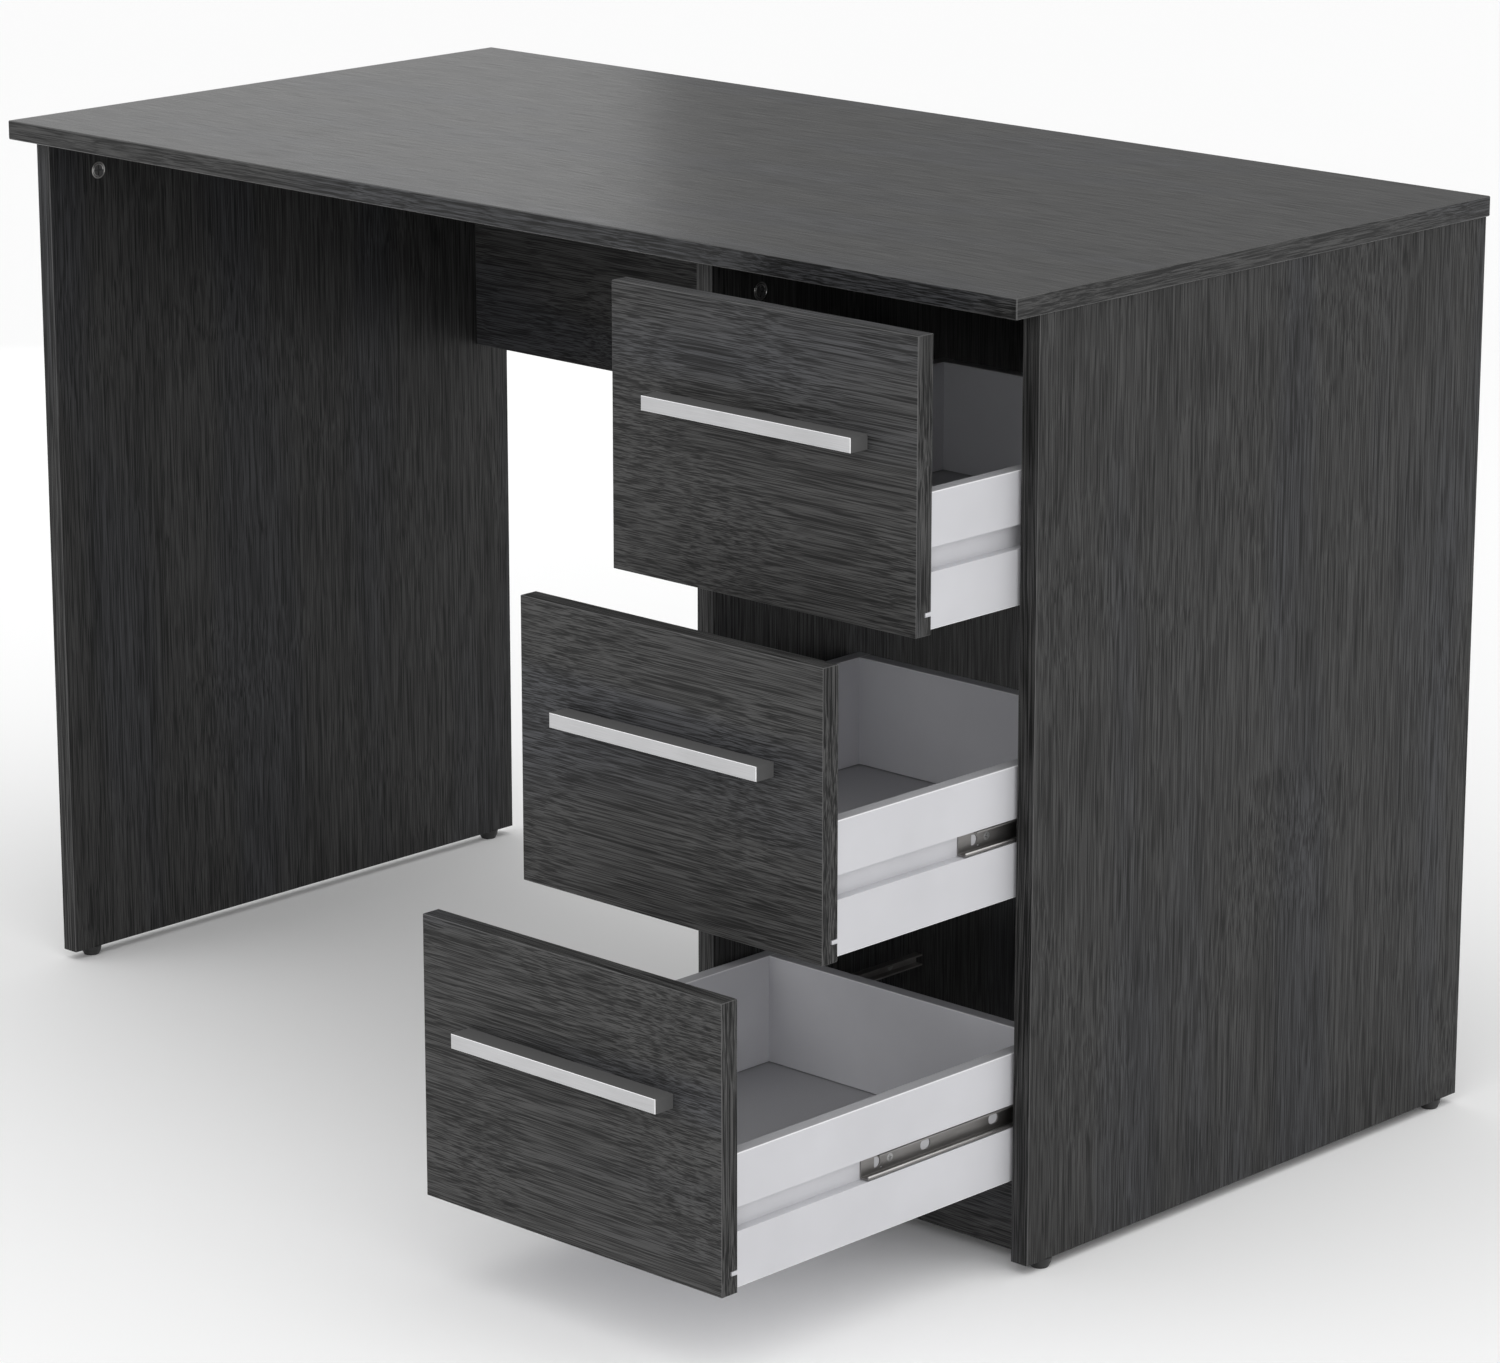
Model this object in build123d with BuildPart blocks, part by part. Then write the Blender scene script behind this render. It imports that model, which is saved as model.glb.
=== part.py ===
"""Writing desk with a bay of three drawers, built from melamine-faced boards.

Millimetres. +X is to the right of somebody sitting at the desk, +Y is towards its back, +Z is up.
The origin is on the floor, under the middle of the box that the desk fills as it is stored, with
its three drawers drawn out by different amounts.
"""

import os

from build123d import *

os.makedirs("parts", exist_ok=True)

# ---------------------------------------------------------------- driving dimensions
# The desk as a whole
desk_width = 1110.0
desk_depth = 560.0
desk_height = 740.0
board = 16.0                # every dark board: desktop, panels, rails and drawer fronts
front_overhang = 28.0       # desktop ahead of the panels
edge_reveal = 2.0           # desktop past the panels at both ends and at the back
glide_height = 8.0          # the panels stand on glides, clear of the floor
desktop_round = 1.2         # radius of the desktop's edging
board_round = 0.7           # radius of the thin edging on the other boards

# Boards across the back and the foot
modesty_height = 250.0
modesty_inset = 22.0        # from the back edge of the panels to the boards across the back
rear_rail_height = 100.0
plinth_top = 62.0           # height of the plinth's upper edge above the floor
plinth_gap = 2.0            # from a closed drawer front to the plinth

# The drawer bay
bay_width = 305.0           # clear width between the divider and the right panel
front_side_gap = 2.5
front_gap = 2.5             # between one drawer front and the next
front_top_gap = 2.0         # between the desktop and the upper drawer front
lowest_front = 66.0         # height of the lowest drawer front above the floor

# Drawer boxes
side_length = 350.0
side_height = 100.0
side_board = 12.0
side_lift = 3.5             # the box sits this far above its front's lower edge
side_round = 1.0
bottom_board = 3.2
bottom_groove = 4.0         # height of the groove that holds the bottom
bottom_groove_z = 10.0      # from the lower edge of the box to that groove
bottom_groove_in_side = 6.0
bottom_groove_in_front = 7.5
side_tongue = 5.5           # the sides' tongues go this far into the front's groove

# Runners: a wide channel in the drawer side's groove, a narrow one on the cabinet, balls between
runner_length = 214.0
runner_thickness = 11.0     # from the floor of the drawer's groove to the cabinet panel
runner_sheet = 1.2
runner_setback = 20.0       # cabinet channel behind the panels' front edges
runner_groove_depth = 8.0
runner_groove_height = 18.0
runner_groove_z = 42.0      # from the lower edge of the box to the runner's groove
runner_screw_inset = 31.0   # from each end of a channel to its screw
drawer_channel_height = 17.0
drawer_channel_reach = 8.6
drawer_channel_lip = 2.6    # height of the lip on its lower flange
upper_flange_setback = 12.0  # from each end of a drawer channel to its upper flange
channel_bend = 0.4          # inner radius of the drawer channel's bends
window_from_end = 14.0      # from each end of a drawer channel to its D-shaped window
window_length = 6.75
slot_from_end = 69.5        # from each end of a drawer channel to the middle of its oval slot
slot_length = 11.0
catch_from_end = 22.0       # a small slot low in the web, that the cage's catch drops into
catch_size = (3.0, 1.2)
catch_drop = 5.0
cabinet_channel_height = 9.2
cabinet_channel_start = 3.2  # its flanges begin this far from the groove's floor
least_overlap = 36.0        # of the two channels, when the drawer is fully out
ball = 2.5
ball_slack = 0.1
cage_length = 33.0
cage_sheet = 0.9
cage_strip = 1.2
cage_web_start = 1.75       # distances from the groove's floor
cage_reach = 6.9
ball_pitch = 11.0
balls_in_row = 3

# Handles
handle_length = 206.0
handle_height = 11.0
handle_depth = 18.0
handle_from_top = 76.5      # from the upper edge of the drawer front
handle_face = 2.6
handle_roof = 2.4
handle_block = 14.0         # solid block at each end, which takes the screw
handle_chamfer = 0.4

# Fittings
cam_radius = 7.5
cam_below_edge = 34.0
cam_from_corner = 53.0
cam_floor = 3.5             # board left under a cam
small_cam_radius = 6.0
small_cam_below_edge = 24.0
small_cam_floor = 2.5
cam_slack = 0.15
bolt_radius = 3.5
bolt_bore_radius = 4.0
bolt_thread_radius = 3.0
bolt_thread_skin = 5.0      # board left above a bolt's thread
small_bolt_radius = 2.5
small_bolt_bore_radius = 2.8
dowel_radius = 4.0
dowel_depth_in_edge = 20.0
dowel_from_cam = 32.0
glide_radius = 9.0
glide_foot_radius = 6.5
glide_from_corner = 24.0
glide_pin_radius = 1.5
glide_pin_length = 14.0
screw_radius = 1.75
screw_head_radius = 3.2
handle_screw_radius = 2.0
handle_screw_head_radius = 4.0
handle_screw_head_height = 2.4
handle_screw_slot = 5.0     # length of the cross slot
handle_screw_grip = 8.0
handle_bore_radius = 2.5
screw_slot = 0.7
screw_slot_share = 0.6      # of a screw head's width, that its cross slot crosses
channel_screw_bite = 0.8    # share of the board under a drawer's groove that a screw goes into
low_fixing_share = 0.28     # of the drawer side's height, up to the lower back screw
high_fixing_share = 0.8     # and up to the upper one, level with the front's cam

# The three drawers, from the top, each with the share of its full travel that it is drawn out
drawers = {"top": 0.35, "middle": 0.66, "bottom": 0.99}

# ---------------------------------------------------------------- worked out from those
cabinet_depth = desk_depth - front_overhang - edge_reveal
front_height = (desk_height - board - front_top_gap - lowest_front
                - (len(drawers) - 1) * front_gap) / len(drawers)
channel_start = side_length - runner_length     # from the drawer front's back to its channel
channel_lag = board + channel_start - runner_setback
travel = channel_lag + runner_length - least_overlap
stand_out = max(front_overhang, drawers["bottom"] * travel + handle_depth)

desktop_back = (stand_out + cabinet_depth + edge_reveal) / 2
cabinet_back = desktop_back - edge_reveal
cabinet_front = cabinet_back - cabinet_depth
desktop_front = cabinet_front - front_overhang
panel_top = desk_height - board
panel_height = panel_top - glide_height

right_outer = desk_width / 2 - edge_reveal
left_outer = -right_outer
right_inner = right_outer - board
left_inner = left_outer + board
divider_right = right_inner - bay_width
divider_left = divider_right - board

across_front = cabinet_back - modesty_inset - board     # front face of the boards across the back
modesty_bottom = panel_top - modesty_height
plinth_front = cabinet_front + board + plinth_gap

runner_gap = runner_thickness - runner_groove_depth
box_left = divider_right + runner_gap
box_right = right_inner - runner_gap
front_left = divider_right + front_side_gap
front_right = right_inner - front_side_gap
bay_middle = (divider_right + right_inner) / 2
runner_height = runner_groove_z + runner_groove_height / 2
cabinet_channel_front = cabinet_front + runner_setback

cam_depth = board - cam_floor
small_cam_depth = side_board - small_cam_floor
thread_depth = board - bolt_thread_skin
dowel_depth_in_face = board - bolt_thread_skin
cam_ys = (cabinet_front + cam_from_corner, cabinet_back - cam_from_corner)
dowel_ys = (cam_ys[0] + dowel_from_cam, cam_ys[1] - dowel_from_cam)
glide_ys = (cabinet_front + glide_from_corner, cabinet_back - glide_from_corner)
runner_screws = (runner_screw_inset, runner_length - runner_screw_inset)
channel_screw_depth = (side_board - runner_groove_depth) * channel_screw_bite

# Each upright: the x of its left face, and the side (+1 right, -1 left) that its cams open to
uprights = {
    "left_side_panel": (left_outer, 1),
    "divider_panel": (divider_left, 1),
    "right_side_panel": (right_inner, -1),
}
# Each board across: left end, right end, front face, bottom, top, and how far its cams are from
# its long edges. Two boards that meet the same upright back to back have theirs at other heights.
rails = {
    "modesty_panel": (left_inner, divider_left, across_front, modesty_bottom, panel_top,
                      cam_below_edge),
    "bay_back_panel": (divider_right, right_inner, across_front, modesty_bottom, panel_top,
                       2 * cam_below_edge),
    "rear_rail": (divider_right, right_inner, across_front, glide_height,
                  glide_height + rear_rail_height, rear_rail_height / 2),
    "plinth_rail": (divider_right, right_inner, plinth_front, glide_height, plinth_top,
                    (plinth_top - glide_height) / 2),
}


# ---------------------------------------------------------------- shared shapes
def save(builder, name):
    """Label a finished piece and write it as a STEP file of the same name."""
    builder.part.label = name
    export_step(builder.part, f"parts/{name}.step")


def slab(x_range, y_range, z_range, mode=Mode.ADD):
    """A square-edged block between the given limits."""
    width, depth = x_range[1] - x_range[0], y_range[1] - y_range[0]
    with BuildSketch(Plane.XY.offset(z_range[0])) as outline:
        with Locations((sum(x_range) / 2, sum(y_range) / 2)):
            Rectangle(width, depth)
    return extrude(outline.sketch, amount=z_range[1] - z_range[0], mode=mode)


def along_x(x, direction):
    """Locations' rotation that turns a feature's +Z to +X or -X, at the given x."""
    return lambda y, z: Location((x, y, z), (0, 90 * direction, 0))


def along_y(y, direction):
    """The same for +Y (direction 1) or -Y (direction -1), at the given y."""
    return lambda x, z: Location((x, y, z), (-90 * direction, 0, 0))


FROM_BASE = (Align.CENTER, Align.CENTER, Align.MIN)


def rod(places, radius, length, mode=Mode.ADD):
    """A cylinder that starts at each place and runs along its local +Z."""
    with Locations(*places):
        Cylinder(radius, length, align=FROM_BASE, mode=mode)


def cam(place, radius, depth, bore_radius, opening):
    """A cam disc in its pocket: cross slot on the face, mouth towards the board's edge."""
    with Locations(place):
        Cylinder(radius - cam_slack, depth, align=FROM_BASE)
        with Locations((0, 0, depth - radius / 5)):
            Box(radius * 1.3, radius / 5, radius / 2.5, align=FROM_BASE, mode=Mode.SUBTRACT)
            Box(radius / 5, radius * 1.3, radius / 2.5, align=FROM_BASE, mode=Mode.SUBTRACT)
    with Locations(opening):
        Cylinder(bore_radius, radius + bore_radius, align=FROM_BASE, mode=Mode.SUBTRACT)


def screw(place, length, head_radius=screw_head_radius, radius=screw_radius, sheet=runner_sheet):
    """A countersunk screw: its head's face is at the place, and its shank runs along local +Z."""
    with Locations(place):
        Cone(head_radius, radius, sheet, align=FROM_BASE)
        Cylinder(radius, length, align=FROM_BASE)
        across = 2 * head_radius * screw_slot_share
        Box(across, screw_slot, screw_slot, align=FROM_BASE, mode=Mode.SUBTRACT)
        Box(screw_slot, across, screw_slot, align=FROM_BASE, mode=Mode.SUBTRACT)


# ---------------------------------------------------------------- places of the cabinet's fittings
def rail_heights(bottom, top, inset):
    """Heights of the cams on a board across: two on a tall board, one halfway up a low one."""
    return sorted({bottom + inset, top - inset})


def rail_cams():
    """For every cam in a board across: x of the board's end, way into the board, y, height."""
    found = []
    for left, right, front, bottom, top, inset in rails.values():
        for height in rail_heights(bottom, top, inset):
            found.append((left, 1, front, height))
            found.append((right, -1, front, height))
    return found


# ---------------------------------------------------------------- desktop
with BuildPart() as desktop:
    slab((-desk_width / 2, desk_width / 2), (desktop_front, desktop_back), (panel_top, desk_height))
    fillet(desktop.edges(), desktop_round)
    for left_face, _ in uprights.values():
        middle = left_face + board / 2
        rod([(middle, y, panel_top) for y in cam_ys], bolt_thread_radius, thread_depth,
            mode=Mode.SUBTRACT)
        rod([(middle, y, panel_top) for y in dowel_ys], dowel_radius, dowel_depth_in_face,
            mode=Mode.SUBTRACT)
save(desktop, "desktop")

# ---------------------------------------------------------------- uprights
for name, (left_face, cam_side) in uprights.items():
    right_face = left_face + board
    middle = left_face + board / 2
    cam_face = right_face if cam_side > 0 else left_face
    with BuildPart() as upright:
        slab((left_face, right_face), (cabinet_front, cabinet_back), (glide_height, panel_top))
        fillet(upright.edges().filter_by(Axis.Z), board_round)
        into = along_x(cam_face, -cam_side)
        rod([into(y, panel_top - cam_below_edge) for y in cam_ys], cam_radius, cam_depth,
            mode=Mode.SUBTRACT)
        rod([Location((middle, y, panel_top), (180, 0, 0)) for y in cam_ys], bolt_bore_radius,
            cam_below_edge, mode=Mode.SUBTRACT)
        rod([Location((middle, y, panel_top), (180, 0, 0)) for y in dowel_ys], dowel_radius,
            dowel_depth_in_edge, mode=Mode.SUBTRACT)
        rod([(middle, y, glide_height) for y in glide_ys], glide_pin_radius,
            glide_pin_length, mode=Mode.SUBTRACT)
        # sockets for the bolts of the boards that butt against this upright
        for end, way, front, height in rail_cams():
            if abs(end - (left_face if way < 0 else right_face)) < board / 2:
                socket = along_x(end, -way)(front + board / 2, height)
                rod([socket], bolt_thread_radius, thread_depth, mode=Mode.SUBTRACT)
        # pilot holes of the cabinet runners' screws, on the faces towards the bay
        for bay_face, into_board in ((divider_right, -1), (right_inner, 1)):
            if bay_face not in (left_face, right_face):
                continue
            pilots = [
                along_x(bay_face, into_board)(
                    cabinet_channel_front + along,
                    lowest_front + row * (front_height + front_gap) + side_lift + runner_height,
                )
                for row in range(len(drawers))
                for along in runner_screws
            ]
            rod(pilots, screw_radius, thread_depth, mode=Mode.SUBTRACT)
    save(upright, name)

# ---------------------------------------------------------------- boards across
for name, (left, right, front, bottom, top, inset) in rails.items():
    with BuildPart() as rail:
        slab((left, right), (front, front + board), (bottom, top))
        fillet(rail.edges().filter_by(Axis.X), board_round)
        for height in rail_heights(bottom, top, inset):
            for end, way in ((left, 1), (right, -1)):
                pocket = along_y(front + board, -1)(end + way * cam_below_edge, height)
                rod([pocket], cam_radius, cam_depth, mode=Mode.SUBTRACT)
                bore = along_x(end, way)(front + board / 2, height)
                rod([bore], bolt_bore_radius, cam_below_edge, mode=Mode.SUBTRACT)
    save(rail, name)

# ---------------------------------------------------------------- cabinet fittings
with BuildPart() as cam_locks:
    for left_face, cam_side in uprights.values():
        floor = left_face + (cam_floor if cam_side > 0 else board - cam_floor)
        out = along_x(floor, cam_side)
        for y in cam_ys:
            height = panel_top - cam_below_edge
            mouth = (left_face + board / 2, y, height - bolt_bore_radius)
            cam(out(y, height), cam_radius, cam_depth, bolt_bore_radius, mouth)
    for end, way, front, height in rail_cams():
        x = end + way * cam_below_edge
        mouth = along_x(x + way * bolt_bore_radius, -way)(front + board / 2, height)
        cam(along_y(front + cam_floor, 1)(x, height), cam_radius, cam_depth, bolt_bore_radius, mouth)
save(cam_locks, "cam_locks")

with BuildPart() as cam_bolts:
    upright_bolts = [
        Location((left_face + board / 2, y, panel_top))
        for left_face, _ in uprights.values()
        for y in cam_ys
    ]
    rail_bolts = [
        along_x(end, -way)(front + board / 2, height) for end, way, front, height in rail_cams()
    ]
    for place in upright_bolts + rail_bolts:
        with Locations(place):
            Cylinder(bolt_thread_radius, thread_depth, align=FROM_BASE)
            with Locations((0, 0, -cam_below_edge)):
                Cylinder(bolt_thread_radius / 2, cam_below_edge, align=FROM_BASE)
                Cylinder(bolt_radius, bolt_radius, align=FROM_BASE)
            with Locations((0, 0, -cam_below_edge + cam_radius + cam_slack)):
                Cylinder(bolt_radius, cam_below_edge - cam_radius - cam_slack, align=FROM_BASE)
save(cam_bolts, "cam_bolts")

with BuildPart() as dowels:
    for left_face, _ in uprights.values():
        start = panel_top - dowel_depth_in_edge
        rod([(left_face + board / 2, y, start) for y in dowel_ys], dowel_radius,
            dowel_depth_in_edge + dowel_depth_in_face)
save(dowels, "dowels")

with BuildPart() as foot_glides:
    for left_face, _ in uprights.values():
        for y in glide_ys:
            place = (left_face + board / 2, y)
            with BuildSketch():
                with Locations(place):
                    Circle(glide_foot_radius)
            with BuildSketch(Plane.XY.offset(glide_height / 2)):
                with Locations(place):
                    Circle(glide_radius - board_round)
            with BuildSketch(Plane.XY.offset(glide_height)):
                with Locations(place):
                    Circle(glide_radius)
            loft()
            rod([(*place, glide_height)], glide_pin_radius, glide_pin_length)
save(foot_glides, "foot_glides")


# ---------------------------------------------------------------- runners
def channel(profile, floor_x, out, centre_z, y_front, length, rounds=()):
    """A channel along Y. Its profile's points are (distance out from the groove's floor, height)."""
    points = [(floor_x + out * reach, centre_z + height) for reach, height in profile]
    with BuildSketch(Plane.XZ.offset(-(y_front + length))) as section:
        with BuildLine():
            Polyline(*points, close=True)
        make_face()
        for indices, radius in rounds:
            corners = [points[index] for index in indices]
            chosen = [
                vertex for vertex in section.vertices()
                if any(abs(vertex.X - x) + abs(vertex.Y - z) < 1e-4 for x, z in corners)
            ]
            fillet(chosen, radius)
    extrude(section.sketch, amount=length)


def drawer_channel_profile():
    half, sheet = drawer_channel_height / 2, runner_sheet
    reach, lip = drawer_channel_reach, drawer_channel_lip - drawer_channel_height / 2
    return [(0, -half), (0, half), (reach, half), (reach, half - sheet), (sheet, half - sheet),
            (sheet, sheet - half), (reach - sheet, sheet - half), (reach - sheet, lip),
            (reach, lip), (reach, -half)]


def cabinet_channel_profile():
    half, sheet = cabinet_channel_height / 2, runner_sheet
    back, start = runner_thickness, cabinet_channel_start
    return [(back, -half), (back, half), (start, half), (start, half - sheet),
            (back - sheet, half - sheet), (back - sheet, sheet - half), (start, sheet - half),
            (start, -half)]


def cage_profile():
    high, low = ball_height + cage_strip / 2, ball_height - cage_strip / 2
    web, reach = cage_web_start, cage_reach
    return [(web, -high), (web, high), (reach, high), (reach, low), (web + cage_sheet, low),
            (web + cage_sheet, -low), (reach, -low), (reach, -high)]


ball_height = (drawer_channel_height / 2 - runner_sheet + cabinet_channel_height / 2) / 2
ball_out = (cage_web_start + cage_sheet + cage_reach) / 2
# which corners of the profile are rounded: those outside a bend, then those inside one
drawer_channel_rounds = (((0, 1, 9), runner_sheet + channel_bend), ((4, 5, 6), channel_bend))
window_height = drawer_channel_height / 2
window_half = window_height / 2


def channel_windows(floor_x, centre_z, y_front, y_back):
    """The D-shaped and oval windows pressed through a drawer channel's web, alike at both ends."""
    for end, way in ((y_front, 1), (y_back, -1)):
        flat = end + way * window_from_end
        shoulder = flat + way * (window_length - window_half)
        with BuildSketch(Plane.YZ.offset(floor_x)) as windows:
            with BuildLine():
                Line((flat, centre_z - window_half), (flat, centre_z + window_half))
                Line((flat, centre_z + window_half), (shoulder, centre_z + window_half))
                ThreePointArc((shoulder, centre_z + window_half),
                              (shoulder + way * window_half, centre_z),
                              (shoulder, centre_z - window_half))
                Line((shoulder, centre_z - window_half), (flat, centre_z - window_half))
            make_face()
            with Locations((end + way * slot_from_end, centre_z)):
                SlotOverall(slot_length, window_height)
            with Locations((end + way * catch_from_end, centre_z - catch_drop)):
                Rectangle(*catch_size)
        extrude(windows.sketch, amount=2 * runner_sheet, both=True, mode=Mode.SUBTRACT)


# ---------------------------------------------------------------- drawers
for row, (name, share) in enumerate(drawers.items()):
    rows_below = len(drawers) - 1 - row
    out_by = share * travel
    front_bottom = lowest_front + rows_below * (front_height + front_gap)
    front_top = front_bottom + front_height
    front_face = cabinet_front - out_by
    front_rear = front_face + board
    box_bottom = front_bottom + side_lift
    box_top = box_bottom + side_height
    box_back = front_rear + side_length
    runner_z = box_bottom + runner_height
    groove_low = box_bottom + bottom_groove_z
    groove_high = groove_low + bottom_groove
    channel_front = front_rear + channel_start
    handle_top = front_top - handle_from_top
    handle_middle = handle_top - handle_height / 2
    handle_xs = tuple(bay_middle + way * (handle_length - handle_block) / 2 for way in (-1, 1))
    fixing_heights = (box_bottom + side_height * low_fixing_share,
                      box_bottom + side_height * high_fixing_share)
    cam_height = fixing_heights[1]
    # outer face, way out of the box, and the face of the cabinet panel beside it
    sides = {"left": (box_left, -1, divider_right), "right": (box_right, 1, right_inner)}

    with BuildPart() as drawer_front:
        slab((front_left, front_right), (front_face, front_rear), (front_bottom, front_top))
        fillet(drawer_front.edges(), board_round)
        slab((front_left, front_right), (front_rear - bottom_groove_in_front, front_rear),
             (groove_low, groove_high), mode=Mode.SUBTRACT)
        rod([along_y(front_face, 1)(x, handle_middle) for x in handle_xs], handle_bore_radius,
            board, mode=Mode.SUBTRACT)
        for outer, way, _ in sides.values():
            socket = along_y(front_rear, -1)(outer - way * side_board / 2, cam_height)
            rod([socket], small_bolt_radius, thread_depth, mode=Mode.SUBTRACT)
    save(drawer_front, f"{name}_drawer_front")

    for side, (outer, way, _) in sides.items():
        inner = outer - way * side_board
        groove_floor = outer - way * runner_groove_depth
        with BuildPart() as drawer_side:
            slab(sorted((outer, inner)), (front_rear, box_back), (box_bottom, box_top))
            fillet(drawer_side.edges().filter_by(Axis.Y), side_round)
            slab(sorted((outer, groove_floor)), (front_rear, box_back),
                 (box_bottom + runner_groove_z, box_bottom + runner_groove_z + runner_groove_height),
                 mode=Mode.SUBTRACT)
            slab(sorted((inner, inner + way * bottom_groove_in_side)), (front_rear, box_back),
                 (groove_low, groove_high), mode=Mode.SUBTRACT)
            slab(sorted((inner + way * bottom_groove_in_side, outer)),
                 (front_rear - side_tongue, front_rear), (groove_low, groove_low + bottom_board))
            pocket = along_x(inner, way)(front_rear + small_cam_below_edge, cam_height)
            rod([pocket], small_cam_radius, small_cam_depth, mode=Mode.SUBTRACT)
            bore = along_y(front_rear, 1)(outer - way * side_board / 2, cam_height)
            rod([bore], small_bolt_bore_radius, small_cam_below_edge, mode=Mode.SUBTRACT)
            pilots = [along_x(groove_floor, -way)(channel_front + along, runner_z)
                      for along in runner_screws]
            rod(pilots, screw_radius, channel_screw_depth, mode=Mode.SUBTRACT)
            for height in fixing_heights:
                with Locations(along_x(outer, -way)(box_back - side_board / 2, height)):
                    CounterSinkHole(screw_radius, screw_head_radius, depth=side_board,
                                    counter_sink_angle=90)
                    Cylinder(screw_radius, side_board, align=FROM_BASE, mode=Mode.SUBTRACT)
        save(drawer_side, f"{name}_drawer_{side}_side")

    with BuildPart() as drawer_back:
        slab((box_left + side_board, box_right - side_board), (box_back - side_board, box_back),
             (box_bottom, box_top))
        fillet(drawer_back.edges().filter_by(Axis.X), side_round)
        slab((box_left, box_right), (box_back - side_board, box_back - side_board / 2),
             (groove_low, groove_high), mode=Mode.SUBTRACT)
        for outer, way, _ in sides.values():
            for height in fixing_heights:
                end = along_x(outer - way * side_board, -way)(box_back - side_board / 2, height)
                rod([end], screw_radius, 2 * side_board, mode=Mode.SUBTRACT)
    save(drawer_back, f"{name}_drawer_back")

    with BuildPart() as drawer_bottom:
        reach = side_board - bottom_groove_in_side
        slab((box_left + reach, box_right - reach),
             (front_rear - bottom_groove_in_front, box_back - side_board / 2),
             (groove_low, groove_low + bottom_board))
    save(drawer_bottom, f"{name}_drawer_bottom")

    with BuildPart() as handle:
        ends = (bay_middle - handle_length / 2, bay_middle + handle_length / 2)
        slab(ends, (front_face - handle_depth, front_face), (handle_top - handle_height, handle_top))
        chamfer(handle.edges().group_by(Axis.Y)[0], handle_chamfer)
        slab((ends[0] + handle_block, ends[1] - handle_block),
             (front_face - handle_depth + handle_face, front_face),
             (handle_top - handle_height, handle_top - handle_roof), mode=Mode.SUBTRACT)
        rod([along_y(front_face, -1)(x, handle_middle) for x in handle_xs], handle_screw_radius,
            handle_screw_grip, mode=Mode.SUBTRACT)
    save(handle, f"{name}_drawer_handle")

    with BuildPart() as handle_screws:
        for x in handle_xs:
            with Locations(along_y(front_rear, -1)(x, handle_middle)):
                Cylinder(handle_screw_radius, board + handle_screw_grip, align=FROM_BASE)
            with Locations(along_y(front_rear, 1)(x, handle_middle)):
                Cylinder(handle_screw_head_radius, handle_screw_head_height, align=FROM_BASE)
                with Locations((0, 0, handle_screw_head_height - screw_slot)):
                    Box(handle_screw_slot, screw_slot, screw_slot, align=FROM_BASE,
                        mode=Mode.SUBTRACT)
                    Box(screw_slot, handle_screw_slot, screw_slot, align=FROM_BASE,
                        mode=Mode.SUBTRACT)
    save(handle_screws, f"{name}_drawer_handle_screws")

    with BuildPart() as cam_fittings:
        for outer, way, _ in sides.values():
            middle = outer - way * side_board / 2
            place = along_x(outer - way * small_cam_floor, -way)(
                front_rear + small_cam_below_edge, cam_height)
            mouth = along_y(front_rear + small_cam_below_edge + small_bolt_bore_radius, -1)(
                middle, cam_height)
            cam(place, small_cam_radius, small_cam_depth, small_bolt_bore_radius, mouth)
        for outer, way, _ in sides.values():
            middle = outer - way * side_board / 2
            rod([along_y(front_rear + small_cam_below_edge, -1)(middle, cam_height)],
                small_bolt_radius, small_cam_below_edge + thread_depth)
    save(cam_fittings, f"{name}_drawer_cam_fittings")

    with BuildPart() as back_screws:
        for outer, way, _ in sides.values():
            for height in fixing_heights:
                place = along_x(outer, -way)(box_back - side_board / 2, height)
                screw(place, 3 * side_board, sheet=screw_head_radius - screw_radius)
    save(back_screws, f"{name}_drawer_back_screws")

    for side, (outer, way, _) in sides.items():
        floor_x = outer - way * runner_groove_depth
        with BuildPart() as drawer_channel:
            channel(drawer_channel_profile(), floor_x, way, runner_z, channel_front, runner_length,
                    drawer_channel_rounds)
            channel_windows(floor_x, runner_z, channel_front, channel_front + runner_length)
            for end in (channel_front, channel_front + runner_length - upper_flange_setback):
                slab(sorted((floor_x, floor_x + way * drawer_channel_reach)),
                     (end, end + upper_flange_setback),
                     (runner_z + drawer_channel_height / 2 - runner_sheet - channel_bend,
                      runner_z + drawer_channel_height / 2), mode=Mode.SUBTRACT)
            for along in runner_screws:
                place = along_x(floor_x + way * runner_sheet, -way)(channel_front + along, runner_z)
                with Locations(place):
                    Cone(screw_head_radius, screw_radius, runner_sheet, align=FROM_BASE,
                         mode=Mode.SUBTRACT)
        save(drawer_channel, f"{name}_drawer_{side}_channel")

        with BuildPart() as cabinet_channel:
            channel(cabinet_channel_profile(), floor_x, way, runner_z, cabinet_channel_front,
                    runner_length)
            for along in runner_screws:
                place = along_x(floor_x + way * (runner_thickness - runner_sheet), way)(
                    cabinet_channel_front + along, runner_z)
                with Locations(place):
                    Cone(screw_head_radius, screw_radius, runner_sheet, align=FROM_BASE,
                         mode=Mode.SUBTRACT)
        save(cabinet_channel, f"{name}_{side}_cabinet_channel")

    with BuildPart() as channel_screws:
        for outer, way, _ in sides.values():
            face = outer - way * (runner_groove_depth - runner_sheet)
            for along in runner_screws:
                screw(along_x(face, -way)(channel_front + along, runner_z),
                      runner_sheet + channel_screw_depth)
    save(channel_screws, f"{name}_drawer_channel_screws")

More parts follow.
